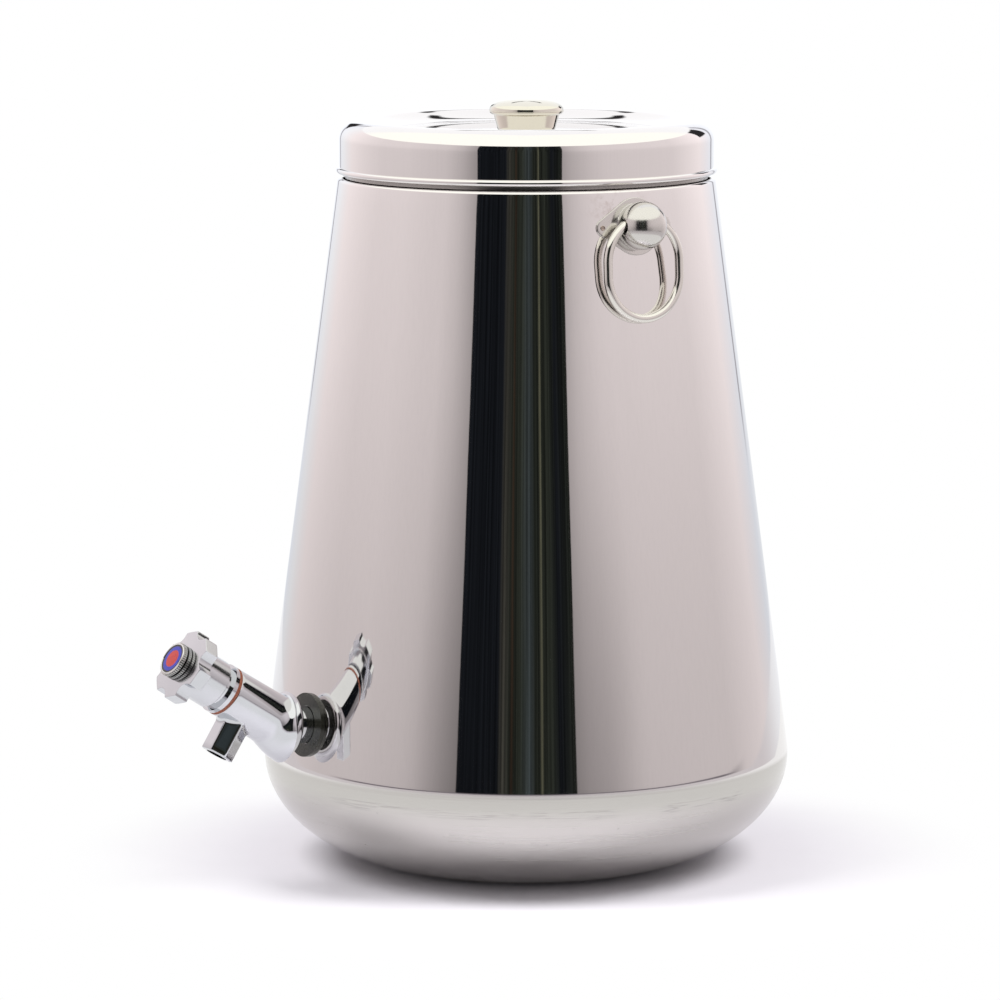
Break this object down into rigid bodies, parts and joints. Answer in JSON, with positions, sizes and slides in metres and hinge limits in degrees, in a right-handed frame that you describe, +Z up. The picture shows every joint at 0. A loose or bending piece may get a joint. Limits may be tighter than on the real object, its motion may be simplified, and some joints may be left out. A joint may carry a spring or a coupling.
{
  "type": "water container with tap",
  "caption": "Tapered steel drinking-water container with a lift-off lid, hanging ring handles and a screw-down tap near its rounded base.",
  "frame": {"origin": "on the vessel's axis, at the flat foot that it stands on", "axes": "+Z up along the vessel's axis, -Y towards the tap, +X towards the right-hand ring handle"},
  "size_m": [0.2985, 0.3857, 0.433],
  "materials": {
    "vessel_steel": "mirror polished, with faint lengthwise polishing streaks",
    "lid_steel": "mirror polished",
    "lid_knob_steel": "polished, slightly warm",
    "handle_steel": "satin",
    "tap_chrome": "bright plated",
    "index_chrome": "knurled, plated",
    "index_colour": "glossy inlay",
    "rubber_black": "matt",
    "fibre_brown": "pressed fibre",
    "brass_plain": "turned",
    "fastener_steel": "plain"
  },
  "bodies": {
    "vessel": {"base_bowl": "vessel_steel", "vessel_wall": "vessel_steel", "neck_collar": "vessel_steel", "lug_right": "handle_steel", "lug_left": "handle_steel", "tap_body": "tap_chrome", "tap_outer_washer": "rubber_black", "tap_inner_washer": "rubber_black", "tap_back_nut": "brass_plain", "fibre_washer": "fibre_brown", "bonnet": "tap_chrome"},
    "lid": {"lid_top": "lid_steel", "lid_skirt": "lid_steel", "lid_knob_cap": "lid_knob_steel", "lid_knob_neck": "lid_knob_steel", "lid_knob_screw": "fastener_steel", "lid_knob_washer": "fastener_steel", "lid_knob_nut": "fastener_steel"},
    "ring_right": {"ring_right": "handle_steel"},
    "ring_left": {"ring_left": "handle_steel"},
    "tap_handle": {"tap_knob": "tap_chrome", "knob_screw": "fastener_steel", "index_cap": "index_chrome", "index_disc": "index_colour", "spindle": "brass_plain", "spindle_o_ring": "rubber_black", "spindle_circlip": "fastener_steel"},
    "tap_valve": {"jumper": "brass_plain", "jumper_washer": "rubber_black", "jumper_screw": "fastener_steel"}
  },
  "joints": [
    {"name": "lid_lift", "type": "slide", "parent": "vessel", "child": "lid", "axis": [0, 0, 1], "range_m": [0, 0.12]},
    {"name": "ring_right_swing", "type": "hinge", "parent": "vessel", "child": "ring_right", "pos_m": [0.1158, 0, 0.36962], "axis": [0, -1, 0], "range_deg": [0, 175]},
    {"name": "ring_left_swing", "type": "hinge", "parent": "vessel", "child": "ring_left", "pos_m": [-0.1158, 0, 0.36962], "axis": [0, 1, 0], "range_deg": [0, 175]},
    {"name": "knob_turn", "type": "hinge", "parent": "vessel", "child": "tap_handle", "pos_m": [0, -0.16465, 0.0925], "axis": [0, -0.8382, 0.5454], "range_deg": [0, 540]},
    {"name": "valve_slide", "type": "slide", "parent": "vessel", "child": "tap_valve", "axis": [0, -0.8382, 0.5454], "range_m": [0, 0.0045]}
  ],
  "couplings": [
    {"joint": "valve_slide", "follows": "knob_turn", "m_per_rad": 0.0004774}
  ]
}
